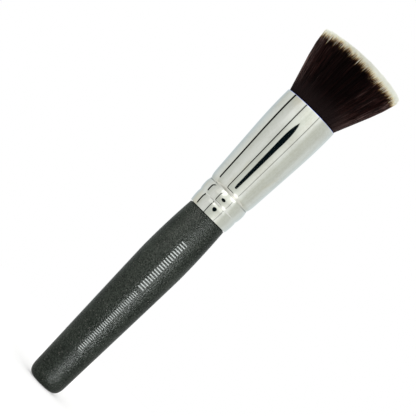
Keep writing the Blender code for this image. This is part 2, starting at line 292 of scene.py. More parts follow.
# Even raised bars across the handle: bar k's outer points are (r sin a, -r cos a, z), with r the
# handle's radius at z plus the ink, z = first + k pitch up or down half its thickness, and a spread
# evenly about the middle; a second layer under the lacquer closes it.
def inkBars(kind):
    first, last, pitch, thickness, width = marksShape[kind]
    columns, proud, sunk = marksLook["columns"], marksLook["proud"], marksLook["sunk"]
    profile = handleProfile()
    side = profile[profile[:, 0] > handleShape["buttFlat"][0]]
    side = side[: np.argmax(side[:, 1])]
    level = first + pitch * np.arange(int(round((last - first) / pitch)) + 1)
    radius = np.interp(level, side[:, 1], side[:, 0])
    turn = math.radians(marksLook["middle"]) + np.linspace(-0.5, 0.5, columns) * width / radius[:, None]
    z = level[:, None] + thickness / 2 * np.array([-1, 1, 1, -1])
    r = np.interp(z, side[:, 1], side[:, 0]) + np.array([proud, proud, -sunk, -sunk])
    points = np.stack(np.broadcast_arrays(
        r[:, None] * np.sin(turn)[..., None], -r[:, None] * np.cos(turn)[..., None], z[:, None]), axis=-1)
    column, corner = 4 * np.arange(columns - 1)[:, None], np.arange(4)
    onward = (corner + 1) % 4
    walls = np.stack([column + corner, column + 4 + corner, column + 4 + onward, column + onward], axis=-1)
    farEnd = 4 * (columns - 1)
    ends = [[0, 1, 2, 3], [farEnd + 3, farEnd + 2, farEnd + 1, farEnd]]
    faces = np.vstack([walls.reshape(-1, 4), ends])
    quads = (faces + 4 * columns * np.arange(len(level))[:, None, None]).reshape(-1, 4)
    return points.reshape(-1, 3), quads


# White ink, worn grey in spots
def ink():
    look = marksLook
    material, tree, shader, place = newMaterial("white_ink", Roughness=look["roughness"])
    worn = softStep(tree, noiseNode(tree, place, *look["wear"]), *look["wornRange"])
    link(tree, mixColour(tree, worn, look["ink"], look["worn"]), shader, "Base Color")
    return material


inkMaterial = ink()
for kind in marksShape:
    barPoints, barQuads = inkBars(kind)
    newPiece(f"marks_{kind}", barPoints, barQuads, np.zeros((0, 3), int), inkMaterial, "handle_lacquer",
             crease=marksLook["crease"])
print("handle made")

ferruleShape = {        # radius and height above the lower rim
    "rim": (0.0089, 0), "rimRound": 0.0020, "band": (0.00927, 0.0042), "valley": (0.00915, 0.0054),
    "valleyCorner": 0.33, "bead": (0.00965, 0.0087), "beadCorner": 0.45, "groove": (0.0092, 0.0112),
    "neck": (0.00995, 0.0144), "neckCorner": (0.83, 0.41), "cone": (0.0114, 0.0360),
    "mouth": (0.01198, 0.0515), "mouthCorner": 0.55,
    "lip": 0.01193, "lipRound": 0.00030, "wall": 0.00035, "around": 192, "crease": 50,
}
metalLook = {           # a pair of heights or widths says where a tone starts and where it is full
    "base": (0.622, 0.632, 0.600), "edge": (0.80, 0.84, 0.86), "worn": (0.560, 0.562, 0.520),
    "drawing": (260, 5.0, 1.0),   # features round the ferrule and along its profile
    "smudge": (110, 5.0), "grain": (1100, 2.0),      # features to a metre, and detail
    "shares": (0.3, 0.4, 0.3),    # of the drawing lines, the smudges and the grain in the tone
    "wornRange": (0.42, 0.62),
    "stain": (0.560, 0.520, 0.400), "stainSlant": (0.5, 0.35, 0.6), "stainScale": (150, 150, 60),
    "stainRange": (0.56, 0.74), "stainDepth": 0.55,
    # painted light: the neck's shade above the groove and the shade in the groove's crease are painted shade;
    # the lip's bright bluish line is a painted highlight and its dark navy top a painted shadow line
    "neckPaintedShade": (0.44, 0.42, 0.33), "neckPaintedShadeHeights": (0.0020, 0.0005), "neckPaintedShadeDepth": 0.35,
    "crease": (0.26, 0.26, 0.24), "creaseShift": 0.00030, "creaseWidths": (0.000308, 0.000088),
    "creaseSides": (0.0050, 0.0088), "creaseMiddle": 0.15,
    "lip": (0.74, 0.77, 0.86), "lipHighlightHeights": (0.00045, 0.00027),
    "lipShadowLine": (0.10, 0.12, 0.40), "lipShadowLineHeights": (0.000286, 0.000154),
    "roughness": 0.035, "roughnessGain": 0.06, "bump": (0.25, 0.000004),
}


# Drawn metal: fine lines up the profile, smudges and stains, painted shade above the groove and in its
# crease, and a painted highlight on the lip with a painted shadow line at its top
def drawnMetal():
    look = metalLook
    material, tree, shader, place = newMaterial("drawn_metal", Metallic=1.0)
    shader.inputs["Specular Tint"].default_value = (*look["edge"], 1)
    ownMap = addNode(tree, "UVMap", uv_map="OFBake").outputs["UV"]
    stretched = addNode(tree, "Mapping", {"Vector": ownMap, "Scale": look["drawing"]}).outputs["Vector"]
    lines = noiseNode(tree, stretched, 1.0)
    smudge, grain = noiseNode(tree, place, *look["smudge"]), noiseNode(tree, place, *look["grain"])
    lineShare, smudgeShare, grainShare = look["shares"]
    tone = mathNode(tree, "MULTIPLY_ADD", lines, lineShare, mathNode(
        tree, "MULTIPLY_ADD", smudge, smudgeShare, mathNode(tree, "MULTIPLY", grain, grainShare)))
    body = mixColour(tree, softStep(tree, tone, *look["wornRange"]), look["base"], look["worn"])

    slanted = addNode(tree, "Mapping", {
        "Vector": place, "Rotation": look["stainSlant"], "Scale": look["stainScale"]}).outputs["Vector"]
    stain = softStep(tree, noiseNode(tree, slanted, 1.0), *look["stainRange"])
    body = mixColour(tree, mathNode(tree, "MULTIPLY", stain, look["stainDepth"]), body, look["stain"])

    parts = addNode(tree, "SeparateXYZ", {"Vector": place})
    height = parts.outputs["Z"]
    aboveCrease = mathNode(tree, "SUBTRACT", height, ferruleStart + ferruleShape["groove"][1])
    # painted shade on the neck just above the groove: full for 0.5 mm above it, gone by 2 mm
    neckShaded = mathNode(tree, "MULTIPLY", softStep(tree, aboveCrease, *look["neckPaintedShadeHeights"]),
                      mathNode(tree, "GREATER_THAN", aboveCrease, 0.0))
    body = mixColour(tree, mathNode(tree, "MULTIPLY", neckShaded, look["neckPaintedShadeDepth"]), body, look["neckPaintedShade"])

    # painted shade in the groove's crease, faint at the front middle and full towards the sides in X
    fromCrease = mathNode(tree, "ABSOLUTE", mathNode(tree, "ADD", aboveCrease, look["creaseShift"]))
    crease = softStep(tree, fromCrease, *look["creaseWidths"])
    sides = softStep(tree, mathNode(tree, "ABSOLUTE", parts.outputs["X"]), *look["creaseSides"])
    sides = mathNode(tree, "MULTIPLY_ADD", sides, 1 - look["creaseMiddle"], look["creaseMiddle"])
    body = mixColour(tree, mathNode(tree, "MULTIPLY", crease, sides), body, look["crease"])

    # painted highlight: a bright bluish line round the top of the lip, with a painted dark navy shadow line
    # on its very top edge
    belowLip = mathNode(tree, "SUBTRACT", ferruleEnd, height)
    body = mixColour(tree, softStep(tree, belowLip, *look["lipHighlightHeights"]), body, look["lip"])
    body = mixColour(tree, softStep(tree, belowLip, *look["lipShadowLineHeights"]), body, look["lipShadowLine"])
    link(tree, body, shader, "Base Color")
    rough = mathNode(tree, "MULTIPLY_ADD", tone, look["roughnessGain"],
                     look["roughness"] - look["roughnessGain"] / 2)
    link(tree, rough, shader, "Roughness")
    link(tree, bumpNode(tree, lines, *look["bump"]), shader, "Normal")
    return material


# Outer side from the lower rim to the mouth: band, valley, bead, sharp groove, cone and lip; each
# stretch ends with its number of steps
def ferruleOutline():
    shape = ferruleShape
    band, valley, bead, groove = (shape[key] for key in ("band", "valley", "bead", "groove"))
    neck, cone, mouth = (shape[key] for key in ("neck", "cone", "mouth"))
    valleyCorner = valley[1] + (bead[1] - valley[1]) * shape["valleyCorner"]
    beadCorner = bead[1] + (groove[1] - bead[1]) * shape["beadCorner"]
    mouthCorner = cone[1] + (mouth[1] - cone[1]) * shape["mouthCorner"]
    neckCorner = [a + (b - a) * share for a, b, share in zip(groove, neck, shape["neckCorner"])]
    return joined(
        bow(shape["rim"], (band[0], shape["rimRound"]), band, 14),
        wave(band, valley, 10),
        bow(valley, (bead[0], valleyCorner), bead, 18),
        bow(bead, (bead[0], beadCorner), groove, 18),
        bow(groove, neckCorner, neck, 22),
        line(neck, cone, 16),
        bow(cone, (mouth[0], mouthCorner), mouth, 30),
        line(mouth, (shape["lip"], ferruleEnd - ferruleStart - shape["lipRound"]), 5))


# The outer side, a rounded lip, the bore one wall inside, and the lower rim
def ferruleProfile():
    outer = ferruleOutline()
    wall, lipRound = ferruleShape["wall"], ferruleShape["lipRound"]
    inner = outer[::-1] - (wall, 0)
    top = ferruleEnd - ferruleStart
    lipOut, lipIn = outer[-1], inner[0]
    profile = joined(
        outer,
        bow(lipOut, (lipOut[0], top), (lipOut[0] - lipRound, top), 8),
        bow((lipOut[0] - lipRound, top), (lipIn[0], top), lipIn, 3),
        inner)
    return profile + (0, ferruleStart)


ferrule = turnedPiece("ferrule_drawn", ferruleProfile(), ferruleShape["around"], drawnMetal(),
                      "ferrule_metal", ferruleShape["crease"], ring=True)
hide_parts("ferrule")
print("ferrule made")

tuftShape = {           # heights above the ferrule's mouth
    "recess": 0.0010, "root": 0.01120, "belly": (0.01615, 0.0127), "edge": (0.0195, 0.0262),
    "edgeCorner": 0.62, "outlineSteps": 40, "dome": 0.0026, "lean": 0.0016,
    "tilt": 0.0002, "rimTilt": 0.0005, "rimDrop": 0.0006,      # of the whole top, and near its rim
    "rimTiltPower": 30, "rimDropPower": 90,
}
bristleShape = {
    "count": 44000, "seed": 11, "groupPieces": 4, "searchParts": 400, "angleBy": 0.15,
    "outerShare": 0.82, "outerRings": 6, "innerRings": 3, "innerLength": 0.0042, "lastRing": 0.0010,
    "rootRadius": 0.000045, "radius": 0.000064, "tipRadius": 0.000026,
    "taper": 0.0010, "thickTo": 0.012, "thinAt": 0.027,      # distances from the tip
    "clumps": 5200, "clumpTurn": 1.0, "clumpSpread": 0.012, "clumpPull": 0.18,
    "clumpDrift": 0.00018, "drift": 0.00010,        # how far sideways chance moves the tips
    "clumpUneven": 0.00008, "uneven": 0.00030, "unevenRange": (-0.0012, 0.0003),
    "shorter": 0.00050, "flatter": 0.00020,         # than the solid tuft's rim and dome
    "frayed": 0.020, "frayedBy": 0.45, "frayedPower": 24,      # share that the rim's hairs fall inward
}
toneShape = {           # 0 is the darkest hair and 1 the palest; places go from -1 to 1 across the tuft
    # side: painted side light, hairs paler towards the tuft's left and right
    "own": 0.50, "clump": 0.16, "side": 0.46, "sideMiddle": -0.10, "sideFrom": 0.30, "sideReach": 0.65,
    "most": 0.85, "glint": 0.92, "glintShare": 0.10,
    # rim: a painted rim light on the outermost hairs at the left and right
    "rimLightFrom": 0.80, "rimLightGain": (0.66, 0.44), "rimLightPower": 2.4,      # gain at the left and right rim
    "leftEdge": (0.01, 0.96), "rightEdge": (0.02, 0.97),      # map's place for tone 0, and its span
}
paleShape = {           # how much longer a hair's pale tip is
    "by": 0.00042, "clumpBy": 0.00015, "range": (-0.0022, 0.0031), "strayShare": 0.03, "stray": 0.0010,
    "across": (             # place across the tuft, and the length there
        (-1.0, 0.0006), (-0.85, 0.0002), (-0.60, -0.00006), (-0.35, 0.00002), (-0.08, 0.00018),
        (0.225, 0.0005), (0.475, 0.0008), (0.69, 0.00092), (0.85, 0.0011), (1.0, 0.0014)),
    "mapLength": 0.037, "mapMargin": 0.0032, "mapRoot": 0.004,      # length along the hair, and root's step
}
bristleLook = {
    "dark": (0.0024, 0.0008, 0.0008), "wine": (0.048, 0.0175, 0.0155), "glint": (0.098, 0.062, 0.057),
    # rim: the colour of the painted rim light on the outermost hairs
    "rim": (0.19, 0.118, 0.108),
    "shaftStops": ((0.0, "dark"), (0.40, "dark"), (0.82, "wine"), (0.90, "glint"), (0.97, "rim")),
    "streaks": (6200, 6200, 130), "streakRange": (0.43, 0.59),
    "grey": (0.016, 0.010, 0.010), "brownRight": (0.052, 0.032, 0.030), "brownRightFrom": (0.0080, 0.0112),
    "greyReach": 0.010, "rootShade": 0.0005,
    "tipStops": (                     # distance from the tip in millimetres, and colour
        (0.3, (0.86, 0.87, 0.81)), (0.95, (0.84, 0.81, 0.62)), (1.35, (0.68, 0.56, 0.32)),
        (1.7, (0.27, 0.148, 0.062)), (2.2, (0.040, 0.020, 0.013)),
    ),
    "tipTurn": 0.0062,                # distance, with the map's margin, at which the shaft's colour is full
    "tipShade": (-0.0020, 0.0040, 0.0110, 0.11),       # place across, full and no shade this far off, depth
    "specular": 0.03, "roughness": 0.42,
}


# Across the map goes the hair's tone, up it how near the tip is, as 1 - sqrt(distance / length)
def mapHeight(distance):
    return 1 - np.sqrt(np.clip(distance / paleShape["mapLength"], 0, 1))


# Hairs dark to wine by their tone, streaked, greyer near the root, and pale at the tip
def bristleMaterial():
    look = bristleLook
    material, tree, shader, place = newMaterial("bristle_fibre", Roughness=look["roughness"])
    shader.inputs["Specular IOR Level"].default_value = look["specular"]
    ownMap = addNode(tree, "UVMap", uv_map="OFBake").outputs["UV"]
    parts = addNode(tree, "SeparateXYZ", {"Vector": ownMap})
    shaft = rampNode(tree, parts.outputs["X"], [(at, look[key]) for at, key in look["shaftStops"]])
    stops = [(float(mapHeight(distance * millimetre + paleShape["mapMargin"])), colour)
             for distance, colour in reversed(look["tipStops"])]
    tips = rampNode(tree, parts.outputs["Y"], stops)

    spot = addNode(tree, "SeparateXYZ", {"Vector": place})
    height = spot.outputs["Z"]
    shadeMiddle, shadeInner, shadeOuter, shadeDepth = look["tipShade"]
    away = mathNode(tree, "ABSOLUTE", mathNode(tree, "SUBTRACT", spot.outputs["X"], shadeMiddle))
    shade = mathNode(tree, "MULTIPLY_ADD", softStep(tree, away, shadeOuter, shadeInner), -shadeDepth, 1.0)
    tips = mixValue(tree, tips, shade, "MULTIPLY")

    # streaks that lean and flare with the tuft: its place less the lean, over the flare at that height
    rise = mathNode(tree, "DIVIDE", mathNode(tree, "SUBTRACT", height, ferruleEnd), tuftShape["edge"][1])
    lean = addNode(tree, "CombineXYZ", {0: mathNode(tree, "MULTIPLY", rise, tuftShape["lean"])}).outputs[0]
    flare = mathNode(tree, "MULTIPLY_ADD", rise, tuftShape["edge"][0] / tuftShape["root"] - 1, 1.0)
    flare = addNode(tree, "CombineXYZ", {0: flare, 1: flare, 2: 1.0}).outputs[0]
    upright = addNode(tree, "VectorMath", {0: place, 1: lean}, operation="SUBTRACT").outputs["Vector"]
    upright = addNode(tree, "VectorMath", {0: upright, 1: flare}, operation="DIVIDE").outputs["Vector"]
    stretched = addNode(tree, "Mapping", {"Vector": upright, "Scale": look["streaks"]}).outputs["Vector"]
    streak = softStep(tree, noiseNode(tree, stretched, 1.0), *look["streakRange"])
    shaft = mixColour(tree, streak, look["dark"], shaft)

    # greyer near the root, and browner there towards +X
    nearRoot = softStep(tree, height, ferruleEnd + look["greyReach"], ferruleEnd)
    brownRight = softStep(tree, spot.outputs["X"], *look["brownRightFrom"])
    shaft = mixColour(tree, nearRoot, shaft, mixColour(tree, brownRight, look["grey"], look["brownRight"]))
    atRoot = softStep(tree, height, ferruleEnd + look["rootShade"], ferruleEnd)
    shaft = mixColour(tree, atRoot, shaft, look["dark"])
    turn = softStep(tree, parts.outputs["Y"], float(mapHeight(look["tipTurn"])), stops[0][0])
    link(tree, mixColour(tree, turn, shaft, tips), shader, "Base Color")
    return material


# Radius and height above the mouth: straight from the root to the belly, then a bow out to the rim
def tuftOutline():
    shape, steps = tuftShape, tuftShape["outlineSteps"]
    belly, edge, root = shape["belly"], shape["edge"], (shape["root"], -shape["recess"])
    slope = (belly[0] - root[0]) / (belly[1] - root[1])
    cornerHeight = belly[1] + (edge[1] - belly[1]) * shape["edgeCorner"]
    corner = (belly[0] + slope * (cornerHeight - belly[1]), cornerHeight)
    return joined(line(root, belly, steps), bow(belly, corner, edge, steps))


# Place n of a sunflower's spiral over the unit disc, at share s = sqrt((n + 1/2) / count) of its radius
# and at n golden angles, plus a turn
def spiral(count, turn):
    n = np.arange(count)
    golden = np.pi * (3 - np.sqrt(5))
    share, angle = np.sqrt((n + 0.5) / count), n * golden + turn
    return share, np.stack([share * np.cos(angle), share * np.sin(angle)], axis=1)


# Every hair's place on a fine spiral, what chance gives it, and what the nearest clump of a coarser
# spiral gives it
def drawHairs():
    shape, rng = bristleShape, np.random.default_rng(bristleShape["seed"])
    count, clumps = shape["count"], shape["clumps"]
    share, spot = spiral(count, rng.normal(0, shape["angleBy"], count) / np.sqrt(np.arange(count) + 1))
    clumpSpot = spiral(clumps, shape["clumpTurn"])[1]
    clumpSpot += rng.normal(0, shape["clumpSpread"], clumpSpot.shape)
    clumpDrift = rng.normal(0, shape["clumpDrift"], clumpSpot.shape)
    clumpUneven = rng.normal(0, shape["clumpUneven"], clumps)
    clumpPaler = rng.normal(0, paleShape["clumpBy"], clumps)
    clumpTone = rng.random(clumps)
    drift = rng.normal(0, shape["drift"], (count, 2))
    uneven = np.clip(shape["uneven"] - rng.exponential(shape["uneven"], count), *shape["unevenRange"])
    paler = rng.exponential(paleShape["by"], count) - paleShape["by"]
    tone = rng.random(count)
    phase = rng.random(count) * 2 * np.pi
    inward = 1 - shape["frayed"] * share ** shape["frayedPower"] * rng.random(count) ** shape["frayedBy"]
    nearest = np.concatenate([
        np.argmin(((part[:, None] - clumpSpot) ** 2).sum(-1), axis=1)
        for part in np.array_split(spot, shape["searchParts"])])
    return {"share": share, "spot": spot, "clumpSpot": clumpSpot[nearest], "tone": tone,
            "clumpTone": clumpTone[nearest], "drift": clumpDrift[nearest] + drift, "uneven": uneven,
            "clumpUneven": clumpUneven[nearest], "paler": paler + clumpPaler[nearest], "phase": phase,
            "inward": inward}


# Each hair's middle from its start to its tip: at height z it is f s R(z) (cos a, sin a), with f the
# fraying at the rim, pulled a little to its clump, plus the lean and a drift that grow with z
def hairPaths(own, rings, fromHeight):
    shape, tuft, across = bristleShape, tuftShape, own["spot"][:, 0]
    rimTilt = tuft["rimTilt"] * own["share"] ** tuft["rimTiltPower"]
    rimTilt = (rimTilt + tuft["rimDrop"] * own["share"] ** tuft["rimDropPower"] * (across > 0)) * across
    tip = (tuft["edge"][1] + (tuft["dome"] - shape["flatter"]) * (1 - own["share"] ** 2)
           + tuft["tilt"] * across - rimTilt + own["uneven"] + own["clumpUneven"] - shape["shorter"])
    start = np.full(len(tip), -tuft["recess"]) if fromHeight is None else tip - fromHeight
    steps = np.append(np.linspace(0, 1, rings), 1)
    height = start[:, None] + (tip - start - shape["lastRing"])[:, None] * steps
    height[:, -1] = tip
    rise = (height + tuft["recess"]) / (tuft["edge"][1] + tuft["recess"])
    outline = tuftOutline()
    reach = np.interp(height, outline[:, 1], outline[:, 0]) - shape["radius"]
    pull = (shape["clumpPull"] * rise ** 2)[..., None]
    middle = own["spot"][:, None] * (1 - pull) + own["clumpSpot"][:, None] * pull
    middle = middle * (reach * own["inward"][:, None])[..., None]
    middle = middle + own["drift"][:, None] * (rise ** 2)[..., None]
    middle[..., 0] += tuft["lean"] * rise
    return middle, height, tip[:, None] - height, rimTilt


# How dark or pale each hair is: its own tone and its clump's, with painted side light making hairs paler
# towards the tuft's left and right, and a painted rim light on the outermost hairs there
def hairTone(own):
    look, across, tone = toneShape, own["spot"][:, 0], own["tone"]
    sideLight = np.clip((np.abs(across - look["sideMiddle"]) - look["sideFrom"]) / look["sideReach"], 0, 1)
    hue = look["own"] * tone + look["clump"] * own["clumpTone"] + look["side"] * sideLight
    hue = np.clip(hue, 0, look["most"])
    hue = np.where(tone > 1 - look["glintShare"] * sideLight, look["glint"], hue)
    # painted rim light: the outermost hairs at the left and right rims get paler
    rimLight = np.clip((np.abs(across) - look["rimLightFrom"]) / (1 - look["rimLightFrom"]), 0, 1)
    return np.clip(hue + np.where(across < 0, *look["rimLightGain"]) * rimLight ** look["rimLightPower"], 0, 1)


# Each hair's map: its tone across, and upwards how near the tip is, shifted where the tip is paler
def hairMap(own, below, rimTilt, rings):
    hue = hairTone(own)
    left, right = (low + span * hue for low, span in (toneShape["leftEdge"], toneShape["rightEdge"]))
    paler = own["paler"] - rimTilt + np.interp(own["spot"][:, 0], *np.array(paleShape["across"]).T)
    paler = paler + paleShape["stray"] * (own["tone"] < paleShape["strayShare"])
    shift = paleShape["mapMargin"] - np.clip(paler, *paleShape["range"])
    up = mapHeight(np.maximum(below + shift[:, None], 0))
    lower, upper = up[:, :rings - 1], up[:, 1:rings]
    shaped = (len(up), rings - 1, 3, 4)
    across = np.broadcast_to(np.stack([left, right, right, left], axis=-1)[:, None, None], shaped)
    upwards = np.broadcast_to(np.stack([lower, lower, upper, upper], axis=-1)[:, :, None], shaped)
    quadMap = np.stack([across, upwards], axis=-1).reshape(-1, 4, 2)
    endAcross = np.stack([left, right, (left + right) / 2], axis=-1)
    tipUp = np.stack([up[:, -2], up[:, -2], up[:, -1]], axis=-1)
    rootUp = np.stack([up[:, 0], up[:, 0], up[:, 0] + paleShape["mapRoot"]], axis=-1)
    tipMap = np.repeat(np.stack([endAcross, tipUp], axis=-1)[:, None], 3, axis=1)
    rootMap = np.stack([endAcross, rootUp], axis=-1)[:, None]
    return quadMap, np.concatenate([tipMap, rootMap], axis=1).reshape(-1, 3, 2)


# Three sided hairs with a closed root and a point: corner c of a ring is its middle plus
# r (cos b, sin b), with b the hair's phase and c thirds of a turn
def growBristles(name, own, rings, fromHeight, material):
    shape = bristleShape
    middle, height, below, rimTilt = hairPaths(own, rings, fromHeight)
    hairCount = len(height)
    radius = np.interp(below, (0, shape["taper"], shape["thickTo"], shape["thinAt"]),
                       (shape["tipRadius"], shape["radius"], shape["radius"], shape["rootRadius"]))
    side = own["phase"][:, None] + 2 * np.pi * np.arange(3) / 3
    section = np.stack([np.cos(side), np.sin(side)], axis=-1)
    ringPoints = np.empty((hairCount, rings, 3, 3))
    ringPoints[..., :2] = middle[:, :-1, None] + radius[:, :-1, None, None] * section[:, None]
    ringPoints[..., 2] = ferruleEnd + height[:, :-1, None]
    tips = np.concatenate([middle[:, -1], ferruleEnd + height[:, -1:]], axis=1)
    points = np.concatenate([ringPoints.reshape(hairCount, -1, 3), tips[:, None]], axis=1)
    tipNumber = 3 * rings
    corner = np.arange(3)
    following = (corner + 1) % 3
    ring = 3 * np.arange(rings - 1)[:, None]
    quads = np.stack([ring + corner, ring + following, ring + 3 + following, ring + 3 + corner], axis=-1)
    last = 3 * (rings - 1)
    point = np.stack([last + corner, last + following, np.full(3, tipNumber)], axis=-1)
    triangles = np.concatenate([point, [[2, 1, 0]]])
    base = (tipNumber + 1) * np.arange(hairCount)[:, None, None]
    return newPiece(name, points.reshape(-1, 3), (quads.reshape(1, -1, 4) + base).reshape(-1, 4),
                    (triangles[None] + base).reshape(-1, 3), material, "bristles",
                    *hairMap(own, below, rimTilt, rings), smooth=False)


heartShape = {          # radius and height above the mouth where it has both
    "tied": 0.01075, "waist": -0.0065, "inBore": (0.01115, -0.0012), "inMouth": -0.0009,
    "share": 0.88, "depth": 0.0015, "crownSteps": 12, "around": 96, "crease": 40,
}
heartLook = {
    "tan": (0.58, 0.49, 0.34), "cream": (0.90, 0.86, 0.72), "creamRange": (0.38, 0.62),
    "specks": 3400, "topBlend": 0.0006, "roughness": 0.7,
}


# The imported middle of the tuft: its tied root inside the ferrule, and a dark heart under the tips
def heartProfile():
    shape, share = heartShape, heartShape["share"]
    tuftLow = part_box("bristle_tuft")[0].z
    tied, waist = shape["tied"], ferruleEnd + shape["waist"]
    outline = tuftOutline()
    top = tuftShape["edge"][1] + tuftShape["dome"] * (1 - share ** 2) - shape["depth"]
    heart = outline[outline[:, 1] < top] * (share, 1)
    inBore = np.array([shape["inBore"], [share * tuftShape["root"], shape["inMouth"]]])
    body = np.vstack([inBore, heart[heart[:, 1] > 0]]) + (0, ferruleEnd)
    crownTop = ferruleEnd + tuftShape["edge"][1] + tuftShape["dome"] - shape["depth"]
    crown = bow(body[-1], (body[-1][0] / 2, crownTop), (0, crownTop), shape["crownSteps"])
    return joined(
        line((0, tuftLow), (tied, tuftLow), 3),
        line((tied, tuftLow), (tied, waist), 4),
        body, crown)


# Dark on its sides and mottled cream and tan on top, where it fills in between the pale tips
def heartMaterial():
    look = heartLook
    material, tree, shader, place = newMaterial("packed_bristles", Roughness=look["roughness"])
    noise = noiseNode(tree, place, look["specks"])
    sides = mixColour(tree, noise, bristleLook["dark"], bristleLook["grey"])
    top = mixColour(tree, softStep(tree, noise, *look["creamRange"]), look["tan"], look["cream"])
    height = addNode(tree, "SeparateXYZ", {"Vector": place}).outputs["Z"]
    rim = ferruleEnd + tuftShape["edge"][1] - heartShape["depth"]
    onTop = softStep(tree, height, rim - look["topBlend"], rim + look["topBlend"])
    link(tree, mixColour(tree, onTop, sides, top), shader, "Base Color")
    return material


core = turnedPiece("bristle_heart", heartProfile(), heartShape["around"], heartMaterial(),
                   "bristles", heartShape["crease"])
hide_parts("bristle_tuft")
everyHair = drawHairs()
fibre = bristleMaterial()
isOuter = everyHair["share"] > bristleShape["outerShare"]
groups = (("outer", np.flatnonzero(isOuter), bristleShape["outerRings"], None),
          ("inner", np.flatnonzero(~isOuter), bristleShape["innerRings"], bristleShape["innerLength"]))
for group, members, rings, reachDown in groups:
    for number in range(bristleShape["groupPieces"]):
        part = members[number::bristleShape["groupPieces"]]
        own = {key: values[part] for key, values in everyHair.items()}
        hairs = growBristles(f"bristles_{group}_{number + 1}", own, rings, reachDown, fibre)
        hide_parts("bristle_tuft")
print("bristles made")

hiddenLooks = {         # two colours, features to a metre, roughness and relief inside the ferrule
    "handle_glue": ((0.80, 0.73, 0.56), (0.66, 0.57, 0.38), 240, 0.42, 0.00005),
    "resin_plug": ((0.64, 0.54, 0.32), (0.44, 0.33, 0.15), 180, 0.26, 0.00004),
    "binding_thread": ((0.82, 0.79, 0.72), (0.60, 0.56, 0.48), 5200, 0.90, 0.00008),
}
hiddenDetail, hiddenRange, hiddenStrength = 4.0, (0.3, 0.7), 0.4
for nodeName, (light, deep, scale, roughness, relief) in hiddenLooks.items():
    material, tree, shader, place = newMaterial(nodeName + "_finish", Roughness=roughness)
    noise = noiseNode(tree, place, scale, hiddenDetail)
    link(tree, mixColour(tree, softStep(tree, noise, *hiddenRange), light, deep), shader, "Base Color")
    link(tree, bumpNode(tree, noise, hiddenStrength, relief), shader, "Normal")
    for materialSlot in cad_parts[nodeName].material_slots:
        materialSlot.material = material
print("hidden pieces finished")

# the gleams are painted reflections: glows on the floor that only glossy rays see, and the last, with a
# negative strength, a painted darker patch
floorLook = {           # each gleam has a place, a radius and a strength
    "radius": 0.19, "sides": 96, "colour": (0.70, 0.70, 0.70), "roughness": 0.9, "lift": 0.33,
    "gleamCore": 0.2, "gleams": (
        ((0.055, -0.084, 0), 0.045, 0.8), ((0.085, -0.145, 0), 0.055, 0.75),
        ((-0.065, -0.070, 0), 0.110, -0.42)),
}
floorMesh = bpy.data.meshes.new("floor")
floorAngle = 2 * np.pi * np.arange(floorLook["sides"]) / floorLook["sides"]
floorRim = np.stack([np.cos(floorAngle), np.sin(floorAngle), 0 * floorAngle], axis=1) * floorLook["radius"]
floorMesh.from_pydata(floorRim.tolist(), [], [list(range(floorLook["sides"]))])
floor = bpy.data.objects.new("floor", floorMesh)
scene.collection.objects.link(floor)
floorMaterial, tree, shader, place = newMaterial("floor_paper", Roughness=floorLook["roughness"])
shader.inputs["Base Color"].default_value = (*floorLook["colour"], 1)
shader.inputs["Specular IOR Level"].default_value = 0.0
shader.inputs["Emission Color"].default_value = (1, 1, 1, 1)
rays = addNode(tree, "LightPath")
seen = mathNode(tree, "MAXIMUM", rays.outputs["Is Camera Ray"],
                mathNode(tree, "MAXIMUM", rays.outputs["Is Glossy Ray"], rays.outputs["Is Transmission Ray"]))
lift = floorLook["lift"]
for spot, radius, strength in floorLook["gleams"]:
    away = addNode(tree, "VectorMath", {0: place, 1: spot}, operation="DISTANCE").outputs["Value"]
    gleam = mathNode(tree, "MULTIPLY", softStep(tree, away, radius, radius * floorLook["gleamCore"]),
                     rays.outputs["Is Glossy Ray"])
    lift = mathNode(tree, "MULTIPLY_ADD", gleam, strength, lift)
link(tree, mathNode(tree, "MULTIPLY", seen, lift), shader, "Emission Strength")
floorMesh.materials.append(floorMaterial)

